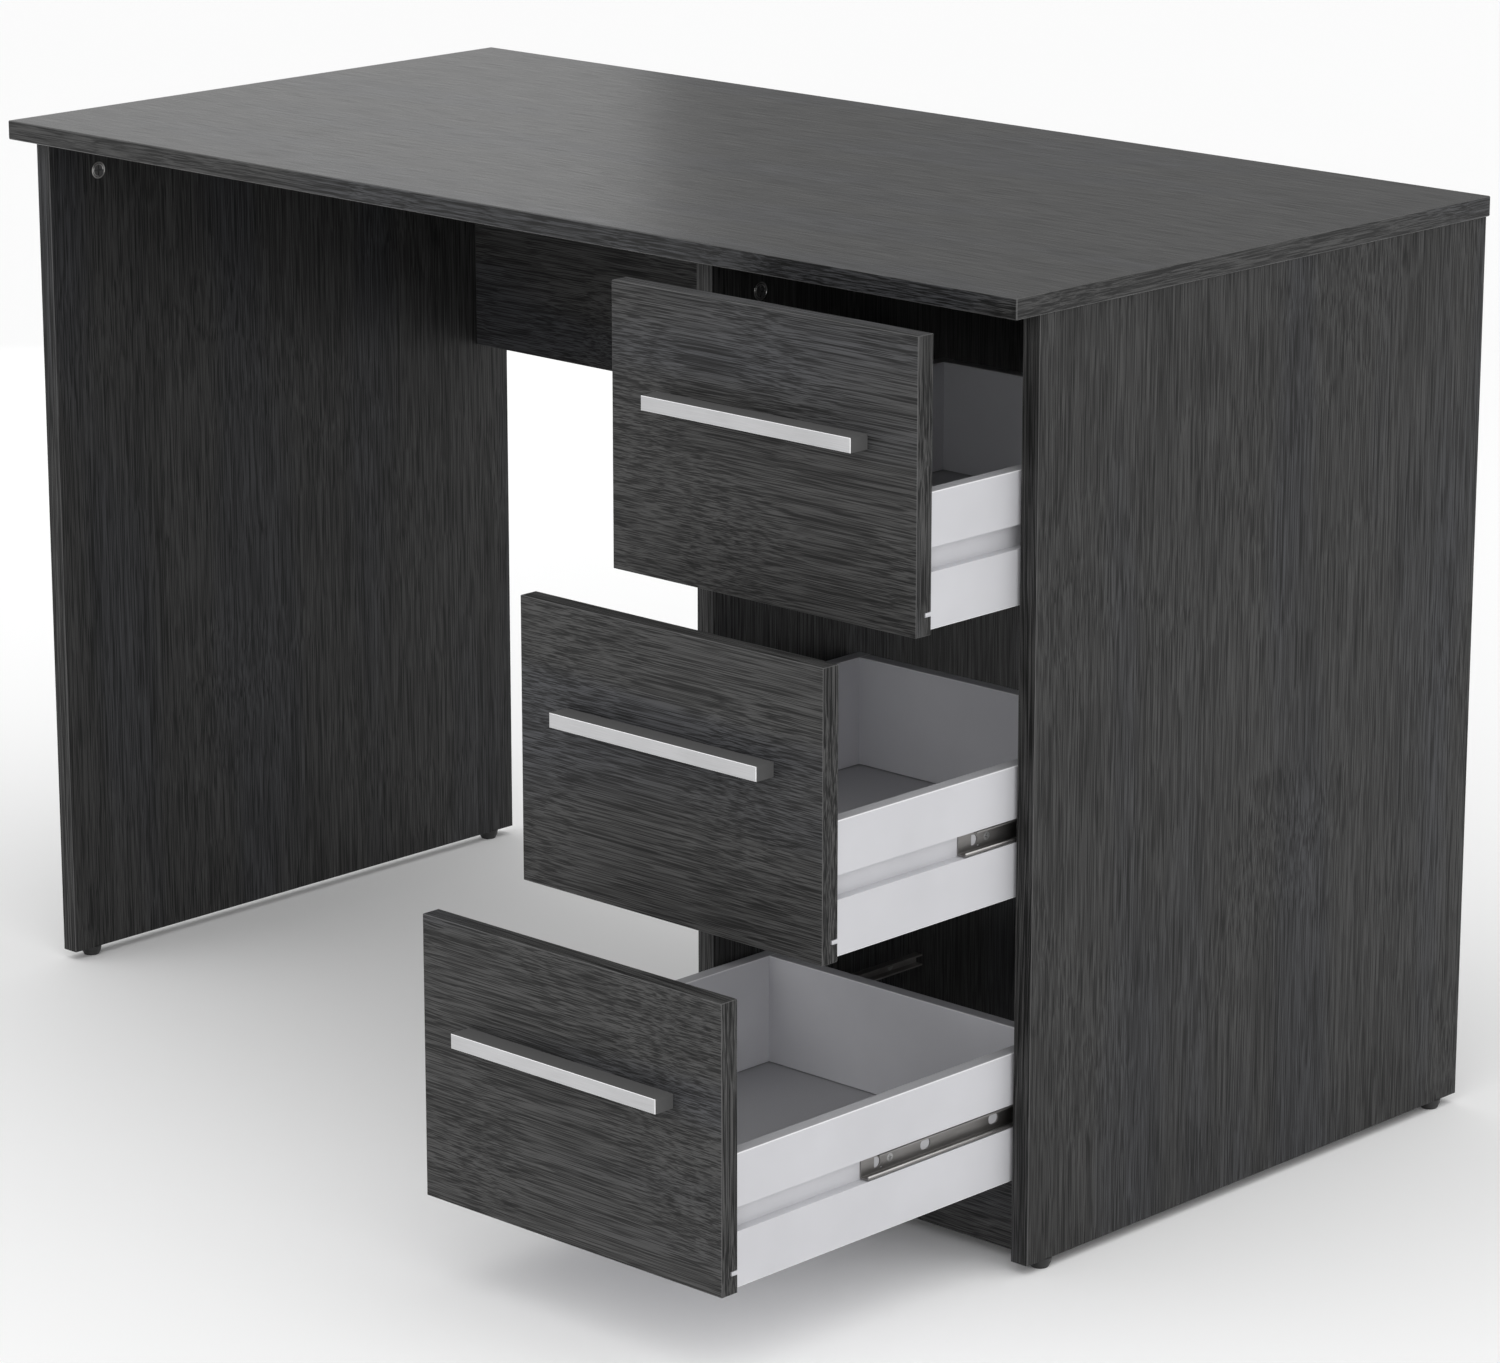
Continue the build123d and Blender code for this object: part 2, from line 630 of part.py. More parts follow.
    with BuildPart() as ball_cages:
        middle_y = (cabinet_channel_front + channel_front + runner_length) / 2
        for outer, way, _ in sides.values():
            floor_x = outer - way * runner_groove_depth
            channel(cage_profile(), floor_x, way, runner_z, middle_y - cage_length / 2, cage_length)
        ball_places = [
            (outer + way * (ball_out - runner_groove_depth),
             middle_y + (place - (balls_in_row - 1) / 2) * ball_pitch,
             runner_z + up * ball_height)
            for outer, way, _ in sides.values()
            for place in range(balls_in_row)
            for up in (-1, 1)
        ]
        with Locations(*ball_places):
            Cylinder(ball / 2 + ball_slack, 2 * cage_strip, mode=Mode.SUBTRACT)
            Sphere(ball / 2)
    save(ball_cages, f"{name}_ball_cages")

with BuildPart() as cabinet_screws:
    for row in range(len(drawers)):
        height = lowest_front + row * (front_height + front_gap) + side_lift + runner_height
        for face, way in ((divider_right, -1), (right_inner, 1)):
            for along in runner_screws:
                place = along_x(face - way * runner_sheet, way)(cabinet_channel_front + along, height)
                screw(place, runner_sheet + thread_depth)
save(cabinet_screws, "cabinet_channel_screws")
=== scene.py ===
"""Finishes for a writing desk: charcoal wood decor, white foil, rolled steel, brushed handles.

The file is laid out as an add-on. Its settings hold the colours and sizes that somebody would
change, each operator dresses one group of pieces, and main() runs them all in order.
"""

import math

import bmesh
import bpy
from bpy.props import FloatProperty, FloatVectorProperty, PointerProperty
from bpy.types import Operator, Panel, PropertyGroup
from mathutils import Matrix, Vector


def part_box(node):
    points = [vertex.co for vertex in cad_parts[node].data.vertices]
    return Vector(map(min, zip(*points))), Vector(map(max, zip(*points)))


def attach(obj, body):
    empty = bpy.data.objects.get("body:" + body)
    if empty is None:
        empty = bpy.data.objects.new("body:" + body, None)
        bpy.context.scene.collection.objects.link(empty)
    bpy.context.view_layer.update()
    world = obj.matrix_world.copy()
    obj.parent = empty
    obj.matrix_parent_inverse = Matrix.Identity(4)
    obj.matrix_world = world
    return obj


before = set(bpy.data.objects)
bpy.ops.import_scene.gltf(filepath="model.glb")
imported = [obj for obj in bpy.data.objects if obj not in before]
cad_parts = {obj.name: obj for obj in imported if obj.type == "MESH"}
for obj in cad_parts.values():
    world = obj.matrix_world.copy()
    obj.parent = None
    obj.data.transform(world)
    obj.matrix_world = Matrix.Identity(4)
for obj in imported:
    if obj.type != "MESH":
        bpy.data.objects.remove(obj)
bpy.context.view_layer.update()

bl_info = {
    "name": "Writing Desk Finishes",
    "version": (1, 0, 0),
    "blender": (4, 5, 0),
    "location": "View3D > Sidebar > Desk",
    "description": "Materials, small pieces and a studio for a writing desk with drawers",
    "category": "Object",
}

X, Y, Z = 0, 1, 2
DRAWERS = ("top", "middle", "bottom")
SIDES = ("left", "right")


# ---------------------------------------------------------------- settings
class DecorSettings(PropertyGroup):
    """The printed wood decor on the boards."""

    ground: FloatVectorProperty(
        name="Ground", description="Colour between the pores", subtype="COLOR",
        default=(0.057, 0.0566, 0.0560), min=0, max=1)
    cool: FloatVectorProperty(
        name="Cool", description="Colour between the pores in the cooler patches",
        subtype="COLOR", default=(0.055, 0.0560, 0.0602), min=0, max=1)
    pore: FloatVectorProperty(
        name="Pore", description="Colour of the dark pores", subtype="COLOR",
        default=(0.005, 0.005, 0.005), min=0, max=1)
    pore_pitch: FloatProperty(
        name="Pore pitch", description="From one pore to the next, across the grain",
        default=0.00080, min=0.0002, unit="LENGTH")
    pore_length: FloatProperty(
        name="Pore length", description="How far a pore runs along the grain",
        default=0.05, min=0.002, unit="LENGTH")
    pore_depth: FloatProperty(
        name="Pore depth", description="How much darker a pore is than the ground",
        default=0.78, min=0, max=1, subtype="FACTOR")


class FoilSettings(PropertyGroup):
    """The white foil of the drawer boxes."""

    colour: FloatVectorProperty(
        name="Colour", description="Of the foil", subtype="COLOR",
        default=(0.58, 0.58, 0.605), min=0, max=1)
    # painted shade: the grey given to what faces up above rim, such as the walls' top edges and the
    # bottoms' upper faces
    edge: FloatVectorProperty(
        name="Edge", description="Of the strip on the boards' upper edges", subtype="COLOR",
        default=(0.37, 0.37, 0.385), min=0, max=1)
    # painted highlight: the height of the white line painted along the foot of each wall
    highlight_line: FloatProperty(
        name="Fold", description="Height of the white line where the foil folds under a wall",
        default=0.0009, min=0.0001, unit="LENGTH")
    grain: FloatProperty(
        name="Grain", description="Size of the foil's fine orange peel", default=0.0012,
        min=0.0001, unit="LENGTH")


class RunnerSettings(PropertyGroup):
    """Small pieces of the runners."""

    bead: FloatProperty(
        name="Bead", description="Diameter of the rolled bead on a drawer channel's lip",
        default=0.0016, min=0.0004, unit="LENGTH")
    lip: FloatProperty(
        name="Lip", description="Thickness of that lip", default=0.0012, min=0.0004,
        unit="LENGTH")
    lip_height: FloatProperty(
        name="Lip height", description="From the channel's lower face", default=0.0026,
        min=0.0005, unit="LENGTH")
    ball: FloatProperty(
        name="Ball", description="Diameter of a bearing ball", default=0.00252, min=0.0005,
        unit="LENGTH")
    ball_pitch: FloatProperty(
        name="Ball pitch", description="From one ball to the next", default=0.011, min=0.003,
        unit="LENGTH")
    ball_out: FloatProperty(
        name="Ball distance", description="From the channel's back to the balls",
        default=0.004775, min=0.001, unit="LENGTH")
    ball_height: FloatProperty(
        name="Ball height", description="From the runner's middle to a row of balls",
        default=0.00595, min=0.001, unit="LENGTH")


class CamSettings(PropertyGroup):
    """The embossed face of a cam."""

    rim: FloatProperty(
        name="Rim", description="Radius of the ring round the face", default=0.0066, min=0.001,
        unit="LENGTH")
    arc: FloatProperty(
        name="Arc", description="Radius of the arc round the cross slot", default=0.0051,
        min=0.001, unit="LENGTH")
    arc_turn: FloatProperty(
        name="Arc turn", description="How far the arc runs", default=math.radians(270),
        subtype="ANGLE")
    line: FloatProperty(
        name="Line", description="Width of a raised line", default=0.0008, min=0.0001,
        unit="LENGTH")
    emboss: FloatProperty(
        name="Emboss", description="How far the lines stand out", default=0.0003, min=0.00005,
        unit="LENGTH")


class MetalSettings(PropertyGroup):
    """Handles, runners and fittings."""

    handle: FloatVectorProperty(
        name="Handle", description="Colour of the handles' steel", subtype="COLOR",
        default=(0.66, 0.66, 0.67), min=0, max=1)
    # painted shade and reflection: the dark colour of the handles' top, ends and underside
    painted_shade: FloatVectorProperty(
        name="Satin", description="Top, ends and underside of the handles", subtype="COLOR",
        default=(0.14, 0.14, 0.14), min=0, max=1)
    runner: FloatVectorProperty(
        name="Runner", description="Colour of the runners' zinc plating", subtype="COLOR",
        default=(0.31, 0.30, 0.293), min=0, max=1)
    # painted highlight: the beads on the runners are real pieces, but this steel, lighter than the
    # runners', stands in for the bright line of light along them and along the cams' raised lines
    bead: FloatVectorProperty(
        name="Bead", description="Colour of the burnished bead on the runners", subtype="COLOR",
        default=(0.66, 0.65, 0.64), min=0, max=1)
    fitting: FloatVectorProperty(
        name="Fitting", description="Colour of the cams and screws", subtype="COLOR",
        default=(0.5, 0.5, 0.5), min=0, max=1)
    brush_width: FloatProperty(
        name="Brush mark", description="Width of a brush mark on the handles", default=0.0003,
        min=0.00005, unit="LENGTH")


class StudioSettings(PropertyGroup):
    """Floor, lights and camera."""

    floor: FloatVectorProperty(
        name="Floor", description="Colour of the floor", subtype="COLOR",
        default=(0.95, 0.95, 0.95), min=0, max=1)
    surround: FloatProperty(
        name="Surround", description="Brightness of the air round the desk", default=0.33, min=0)
    sky: FloatProperty(
        name="Sky", description="Strength of the wide light from the front and right", default=2.9,
        min=0)
    gleam: FloatProperty(
        name="Gleam", description="Power of the panel that the desktop reflects", default=8.0,
        min=0, unit="POWER")
    camera_distance: FloatProperty(
        name="Camera distance", description="Along the floor, from the middle of the desktop",
        default=4.357, min=0.5, unit="LENGTH")
    camera_height: FloatProperty(
        name="Camera height", description="Above the floor", default=1.4875, unit="LENGTH")
    camera_turn: FloatProperty(
        name="Camera turn", description="Round from the front of the desk to its right",
        default=math.radians(43.73), subtype="ANGLE")
    lens: FloatProperty(
        name="Lens", description="Focal length on a 36 mm wide sensor, in millimetres",
        default=131.5, min=10)


def settings(group):
    """One of the scene's groups of settings."""
    return getattr(bpy.context.scene, f"desk_{group}")


# ---------------------------------------------------------------- building materials
# The part of its range that a fine and a broad noise are spread from.
FINE, BROAD = (0.3, 0.7), (0.35, 0.65)


class Recipe:
    """A material whose nodes are added one at a time round its Principled shader."""

    def __init__(self, name):
        self.material = bpy.data.materials.new(name)
        self.material.use_nodes = True
        self.tree = self.material.node_tree
        self.shader = self.tree.nodes["Principled BSDF"]
        self.coords = self.node("TexCoord")

    def node(self, kind, inputs=(), **options):
        """Add a node; its inputs are plain values or other nodes' output sockets."""
        added = self.tree.nodes.new("ShaderNode" + kind)
        for option, value in options.items():
            setattr(added, option, value)
        for key, value in dict(inputs).items():
            self.feed(added.inputs[key], value)
        return added

    def feed(self, socket, value):
        if isinstance(value, bpy.types.NodeSocket):
            self.tree.links.new(value, socket)
        else:
            socket.default_value = value

    def shade(self, **inputs):
        """Feed the shader's own sockets, named with underscores for spaces."""
        for name, value in inputs.items():
            self.feed(self.shader.inputs[name.replace("_", " ")], value)

    def math(self, operation, first, second=0.0):
        return self.node("Math", {0: first, 1: second}, operation=operation).outputs[0]

    def scaled(self, vector, scale):
        return self.node("VectorMath", {0: vector, 1: scale}, operation="MULTIPLY").outputs[0]

    def split(self, vector):
        return self.node("SeparateXYZ", {0: vector}).outputs

    def join(self, x, y, z):
        return self.node("CombineXYZ", {0: x, 1: y, 2: z}).outputs[0]

    def facing(self, axis):
        """How squarely the surface faces either way along an axis, from 0 to 1."""
        return self.math("ABSOLUTE", self.split(self.coords.outputs["Normal"])[axis])

    def noise(self, vector, detail, roughness=0.5):
        inputs = {"Vector": vector, "Scale": 1.0, "Detail": detail, "Roughness": roughness}
        return self.node("TexNoise", inputs).outputs[0]

    def between(self, value, low, high, start=0.0, end=1.0):
        """Carry value from low..high over to start..end, and hold it there."""
        return self.node("MapRange", {0: value, 1: low, 2: high, 3: start, 4: end}).outputs[0]

    def blend(self, share, first, second):
        """A colour between first and second, nearer to second as share rises to 1."""
        return self.node("Mix", {0: share, 6: first, 7: second}, data_type="RGBA").outputs[2]

    def relief(self, height, depth, strength):
        """A bump of the given depth in metres, fed to the shader's normal."""
        bump = self.node("Bump", {"Height": height, "Distance": depth, "Strength": strength})
        self.shade(Normal=bump.outputs[0])


def solid(colour, tone=1.0):
    """A colour for a shader's socket, darkened or lightened by tone."""
    return (*(tone * part for part in colour), 1.0)


def paint(nodes, material):
    """Give CAD nodes one material each."""
    for node in nodes:
        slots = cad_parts[node].data.materials
        slots.clear()
        slots.append(material)


# ---------------------------------------------------------------- building pieces
def add_piece(name, shape, material, body, smooth=True):
    """Turn a finished bmesh into a piece that rides on a CAD body."""
    mesh = bpy.data.meshes.new(name)
    shape.to_mesh(mesh)
    shape.free()
    if smooth:
        mesh.shade_smooth()
    mesh.materials.append(material)
    piece = bpy.data.objects.new(name, mesh)
    bpy.context.scene.collection.objects.link(piece)
    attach(piece, body)


def capsule(shape, radius, start, length):
    """A round bar along Y with domed ends: a sphere whose two halves are drawn apart."""
    place = Matrix.Translation(start) @ Matrix.Rotation(math.radians(-90), 4, "X")
    ball = bmesh.ops.create_uvsphere(shape, u_segments=12, v_segments=7, radius=radius,
                                     matrix=place)
    far_half = [vert for vert in ball["verts"] if vert.co.y > start[Y]]
    bmesh.ops.translate(shape, verts=far_half, vec=(0.0, length, 0.0))


# ---------------------------------------------------------------- wood decor
# How squarely a surface faces along an axis: where it counts as facing that way and as turned
# away from it, and where a flat face ends and a rounded edge begins.
FACING, TURNED_AWAY = 0.6, 0.4
FLAT, ROUNDED = 0.99, 0.93

# The figure and its ripples: waves in a metre along, across and through the board, and how far
# they shift the grain sideways, in metres.
FIGURE_SCALE, FIGURE_SHIFT = (2.2, 4.2, 4.2), 0.075
RIPPLE_SCALE, RIPPLE_SHIFT = (24.0, 45.0, 45.0), 0.0040

# Layers of printed lines: length and width in pores, detail, the range of noise that is used, and
# the range of brightness that it becomes.
PORES = (1.0, 1.0, 1.5, (0.42, 0.54))
THREADS = (0.7, 0.55, 1.0, (0.38, 0.60), (0.52, 1.18))
VEINS = (3.0, 3.2, 1.0, (0.34, 0.64), (0.66, 1.20))
BANDS = (16.0, 26.0, 2.0, (0.30, 0.70), (0.80, 1.14))
COOL_PATCHES = (8.0, 110.0, 1.0, (0.50, 0.62), (0.0, 1.0))

EDGING_CONTRAST, EDGING_GAIN = 2.2, 1.45
# painted highlight: how far the print's rounded edges are blended towards this pale grey
EDGE_HIGHLIGHT_SHARE, EDGE_HIGHLIGHT_GREY = 0.3, (0.2, 0.2, 0.2, 1.0)


def grain_coordinates(recipe, grain, band, offset):
    """Coordinates with X along the grain, which turns on the two ends that edging covers."""
    place = recipe.split(recipe.coords.outputs["Object"])

    def along(axis):
        others = [place[other] for other in (X, Y, Z) if other != axis]
        return recipe.join(place[axis], *others)

    on_end = recipe.math("GREATER_THAN", recipe.facing(grain), FACING)
    turned = recipe.node("Mix", {0: on_end, 4: along(grain), 5: along(band)}, data_type="VECTOR")
    moved = recipe.node("VectorMath", {0: turned.outputs[1], 1: offset}, operation="ADD")
    return moved.outputs[0]


def arris(recipe):
    """1 on the rounded edges between two faces, 0 on the faces."""
    across, deep, up = (recipe.facing(axis) for axis in (X, Y, Z))
    squarest = recipe.math("MAXIMUM", recipe.math("MAXIMUM", across, deep), up)
    return recipe.between(squarest, FLAT, ROUNDED)


def wood_decor(name, grain, band, offset, figure, gloss=0.44, relief=0.00012, sheen_level=0.2,
               run=1.0, tone=1.0, dull_pores=0.14, waver=1.0):
    """Printed oak on a board whose grain and width run along two axes.

    offset moves the print under the board. figure and waver scale the slow bends of the grain and
    the ripples on them, run scales the length of its lines, and tone scales its colour, which paints
    light and shade board by board. A pore is rougher than the ground by dull_pores.
    """
    decor = settings("decor")
    recipe = Recipe(name)
    place = grain_coordinates(recipe, grain, band, offset)
    x, y, z = recipe.split(place)

    # the figure bends the grain slowly, and ripples make it waver
    bend = recipe.noise(recipe.scaled(place, FIGURE_SCALE), 1.0)
    ripple = recipe.noise(recipe.scaled(place, RIPPLE_SCALE), 1.5)
    bent = recipe.math("MULTIPLY", bend, FIGURE_SHIFT * figure)
    rippled = recipe.math("MULTIPLY", ripple, RIPPLE_SHIFT * figure * waver)
    flow = recipe.join(x, recipe.math("ADD", recipe.math("ADD", y, bent), rippled), z)

    def lines(length, width, detail, noise_range, brightness):
        """Noise drawn out along the flow, and carried over to a range of brightness."""
        along = 1 / (run * length * decor.pore_length)
        across = 1 / (width * decor.pore_pitch)
        drawn = recipe.noise(recipe.scaled(flow, (along, across, across)), detail)
        return recipe.between(drawn, *noise_range, *brightness)

    deepest = 1 - decor.pore_depth
    pores = lines(*PORES, (deepest, 1.0))
    light = pores
    for layer in (THREADS, VEINS, BANDS):
        light = recipe.math("MULTIPLY", light, lines(*layer))

    # edging is printed with a harder, more open grain than the faces
    (thin,) = {X, Y, Z} - {grain, band}
    edging = recipe.between(recipe.facing(thin), FACING, TURNED_AWAY)
    face = recipe.math("SUBTRACT", 1.0, edging)
    hard = recipe.math("MULTIPLY", recipe.math("POWER", light, EDGING_CONTRAST), EDGING_GAIN)
    light = recipe.math("ADD", recipe.math("MULTIPLY", light, face),
                        recipe.math("MULTIPLY", hard, edging))

    # the print turns a little cooler in wide patches, and its rounded edges are painted paler as a
    # highlight
    ground = recipe.blend(lines(*COOL_PATCHES), solid(decor.ground, tone), solid(decor.cool, tone))
    colour = recipe.blend(light, solid(decor.pore), ground)
    highlighted_edge = recipe.blend(EDGE_HIGHLIGHT_SHARE, colour, EDGE_HIGHLIGHT_GREY)

    recipe.shade(
        Base_Color=recipe.blend(arris(recipe), colour, highlighted_edge),
        Roughness=recipe.between(pores, deepest, 1.0, gloss + dull_pores, gloss),
        Specular_IOR_Level=sheen_level,
    )
    recipe.relief(light, relief, 0.6)
    return recipe.material


class DESK_OT_finish_boards(Operator):
    """Give every dark board its wood decor, with the grain along the board and its edging"""

    bl_idname = "desk.finish_boards"
    bl_label = "Finish boards"

    def execute(self, context):
        # each board's tone is painted light and shade, set board by board to match how light or dark
        # it looks: the cross boards and the fronts are lightened, the uprights and the desktop
        # darkened
        decors = {
            "desktop": wood_decor("desktop_decor", X, Y, (0.4, 0.0, 0.3), 0.5, gloss=0.26,
                                  relief=0.00001, sheen_level=0.25, tone=0.92, dull_pores=0.04),
        }
        # each board is cut from its own place in the print
        uprights = {"left_side_panel": 0.0, "divider_panel": 2.7, "right_side_panel": 5.3}
        for node, cut in uprights.items():
            decors[node] = wood_decor(f"{node}_decor", Z, Y, (cut, 0.0, 1.7), 0.3, run=1.5,
                                      tone=0.90)
        across = ("modesty_panel", "bay_back_panel", "rear_rail", "plinth_rail")
        for number, node in enumerate(across):
            cut = (3.0 + number, 0.37 * number, 2.1)
            decors[node] = wood_decor(f"{node}_decor", X, Z, cut, 0.8, run=1.5, tone=1.15,
                                      waver=0.5)
        for number, drawer in enumerate(DRAWERS):
            cut = (7.0 + 1.3 * number, 0.4, 0.9)
            decors[f"{drawer}_drawer_front"] = wood_decor(
                f"{drawer}_front_decor", X, Z, cut, 0.6, run=1.8, tone=1.2, waver=0.35)
        for node, decor in decors.items():
            paint([node], decor)
        return {"FINISHED"}


# ---------------------------------------------------------------- drawer boxes
CLOUDS_PER_METRE, CLOUD_TONE = 9.0, 0.93
# painted highlight: the white painted along a wall's foot and on the foil's rounded edges
HIGHLIGHT_WHITE = (0.95, 0.95, 0.96, 1.0)
# painted light: how much lighter the copies of the foil on the left walls and backs, whose inner
# faces are seen, and on the bottoms are than the outer wall's
INNER_PAINTED_LIGHT, FLOOR_PAINTED_LIGHT = 1.28, 1.35


def white_foil(name, rim=0.0, foot=0.0, tone=1.0):
    """White foil: painted shade greys what faces up above rim, and a painted highlight whitens the
    rounded edges and a line at foot.
    """
    foil = settings("foil")
    recipe = Recipe(name)
    place = recipe.coords.outputs["Object"]
    height = recipe.split(place)[Z]
    peel = recipe.noise(recipe.scaled(place, (1 / foil.grain,) * 3), 2.0)
    cloud = recipe.noise(recipe.scaled(place, (CLOUDS_PER_METRE,) * 3), 3.0, 0.6)
    colour = recipe.blend(recipe.between(cloud, *BROAD),
                          solid(foil.colour, CLOUD_TONE * tone), solid(foil.colour, tone))
    # painted shade: faces turned up above rim are greyed to the edge colour
    upward = recipe.between(recipe.split(recipe.coords.outputs["Normal"])[Z], 0.9, FLAT)
    painted_top_shade = recipe.math("MULTIPLY", upward, recipe.math("GREATER_THAN", height, rim))
    colour = recipe.blend(painted_top_shade, colour, solid(foil.edge))
    # painted highlight: a white line along the foot of each wall, and paler rounded edges
    highlight_line = recipe.between(height, foot + foil.highlight_line, foot + 0.5 * foil.highlight_line)
    painted_highlight = recipe.math("MAXIMUM", recipe.math("MULTIPLY", arris(recipe), 0.6), highlight_line)
    recipe.shade(Base_Color=recipe.blend(painted_highlight, colour, HIGHLIGHT_WHITE),
                 Roughness=recipe.between(peel, *FINE, 0.36, 0.5), Specular_IOR_Level=0.4)
    recipe.relief(peel, 0.00002, 0.4)
    return recipe.material


class DESK_OT_wrap_drawer_boxes(Operator):
    """Wrap the drawers' sides, backs and bottoms in white foil"""

    bl_idname = "desk.wrap_drawer_boxes"
    bl_label = "Wrap drawer boxes"

    def execute(self, context):
        for drawer in DRAWERS:
            box = f"{drawer}_drawer"
            low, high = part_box(f"{box}_right_side")
            rim = high.z - settings("foil").highlight_line
            paint([f"{box}_right_side"], white_foil(f"{box}_right_foil", rim, low.z))
            # painted light: the left wall, the back and the bottom get lightened copies of the same
            # foil
            paint([f"{box}_left_side", f"{box}_back"],
                  white_foil(f"{box}_inner_lightened_foil", rim, low.z, INNER_PAINTED_LIGHT))
            paint([f"{box}_bottom"], white_foil(f"{box}_floor_lightened_foil", tone=FLOOR_PAINTED_LIGHT))
        return {"FINISHED"}


# ---------------------------------------------------------------- metal
BRUSH_STROKE = 90              # length of a brush mark, in widths
SATIN_ROUGHNESS, SATIN_METALLIC = 0.5, 0.35
RUNNER_MARKS, RUNNER_STROKE = 2600.0, 45.0    # marks in a metre, and their length in widths
TURNED_MARKS, CAM_MARKS = 3000.0, 1500.0
BALL_STEEL = (0.8, 0.8, 0.8)


def brushed_handle():
    """Brushed along the front face, rougher and painted dark as shade and reflection on every other
    face, and painted bright on the edges as a highlight.
    """
    metal = settings("metal")
    recipe = Recipe("handle_steel")
    place = recipe.coords.outputs["Object"]
    front = recipe.between(recipe.facing(Y), 0.80, 0.95)
    fine = 1 / metal.brush_width
    marks = recipe.noise(recipe.scaled(place, (fine / BRUSH_STROKE, fine, fine)), 3.0, 0.6)
    cloud = recipe.noise(recipe.scaled(place, (14.0, 14.0, 14.0)), 1.0)
    brushed = recipe.blend(recipe.between(marks, *FINE), solid(metal.handle, 0.82),
                           solid(metal.handle))
    clouded = recipe.blend(recipe.between(cloud, *BROAD, 0.0, 0.2), brushed,
                           solid(metal.handle, 0.5))
    # painted shade and reflection: every face but the front takes the dark colour
    colour = recipe.blend(front, solid(metal.painted_shade), clouded)
    brushed_roughness = recipe.between(marks, *FINE, 0.30, 0.46)
    roughness = recipe.node("Mix", {0: front, 2: SATIN_ROUGHNESS, 3: brushed_roughness})
    # painted highlight: the handle's rounded edges are lightened
    recipe.shade(Base_Color=recipe.blend(arris(recipe), colour, solid(metal.handle, 1.35)),
                 Metallic=recipe.between(front, 0.0, 1.0, SATIN_METALLIC, 1.0),
                 Roughness=roughness.outputs[0])
    recipe.relief(marks, 0.000015, 0.5)
    return recipe.material


def plated_steel(name, colour, roughness, fine, stroke=1.0):
    """Steel under mottled zinc, with fine marks in a metre, each drawn out along Y by stroke."""
    recipe = Recipe(name)
    place = recipe.coords.outputs["Object"]
    marks = recipe.noise(recipe.scaled(place, (fine, fine / stroke, fine)), 3.0, 0.6)
    mottle = recipe.noise(recipe.scaled(place, (55.0, 20.0, 55.0)), 3.0, 0.6)
    tint = recipe.blend(recipe.between(mottle, *BROAD), solid(colour, 0.8), solid(colour))
    recipe.shade(Base_Color=tint, Metallic=1.0,
                 Roughness=recipe.between(marks, *FINE, roughness, roughness + 0.14))
    recipe.relief(marks, 0.00001, 0.4)
    return recipe.material


class DESK_OT_finish_handles(Operator):
    """Brush the handles' front faces, and leave the others rougher and painted dark as shade and
    reflection
    """

    bl_idname = "desk.finish_handles"
    bl_label = "Finish handles"

    def execute(self, context):
        paint([f"{drawer}_drawer_handle" for drawer in DRAWERS], brushed_handle())
        return {"FINISHED"}


def cage_plastic():
    """Cream moulded plastic with faint flow marks."""
    recipe = Recipe("cage_plastic")
    place = recipe.coords.outputs["Object"]
    marks = recipe.noise(recipe.scaled(place, (800.0, 300.0, 800.0)), 2.0)
    recipe.shade(Base_Color=recipe.blend(marks, (0.52, 0.52, 0.48, 1.0), (0.66, 0.66, 0.61, 1.0)),
                 Roughness=recipe.between(marks, *FINE, 0.4, 0.55))
    recipe.relief(marks, 0.00002, 0.4)
    return recipe.material


class DESK_OT_finish_runners(Operator):
    """Give the runners' channels their zinc-plated steel"""

    bl_idname = "desk.finish_runners"
    bl_label = "Finish runners"

    def execute(self, context):
        colour = settings("metal").runner
        steel = plated_steel("runner_steel", colour, 0.38, RUNNER_MARKS, RUNNER_STROKE)
        for drawer in DRAWERS:
            paint([f"{drawer}_drawer_{side}_channel" for side in SIDES], steel)
            paint([f"{drawer}_{side}_cabinet_channel" for side in SIDES], steel)
        return {"FINISHED"}


class DESK_OT_roll_channel_lips(Operator):
    """Add the rolled bead along the lower lip of each drawer channel"""

    bl_idname = "desk.roll_channel_lips"
    bl_label = "Roll channel lips"

    def execute(self, context):
        sizes = settings("runner")
        bead = sizes.bead / 2
        # painted highlight: the bead takes the lighter bead colour rather than the channel's steel
        steel = plated_steel("bead_steel", settings("metal").bead, 0.24, RUNNER_MARKS,
                             RUNNER_STROKE)
        for drawer in DRAWERS:
            shape = bmesh.new()
            for side in SIDES:
                low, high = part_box(f"{drawer}_drawer_{side}_channel")
                x = high.x - sizes.lip / 2 if side == "right" else low.x + sizes.lip / 2
                z = low.z + sizes.lip_height
                capsule(shape, bead, (x, low.y + bead, z), high.y - low.y - 2 * bead)
            add_piece(f"{drawer}_channel_lips", shape, steel, f"{drawer}_drawer")
        return {"FINISHED"}


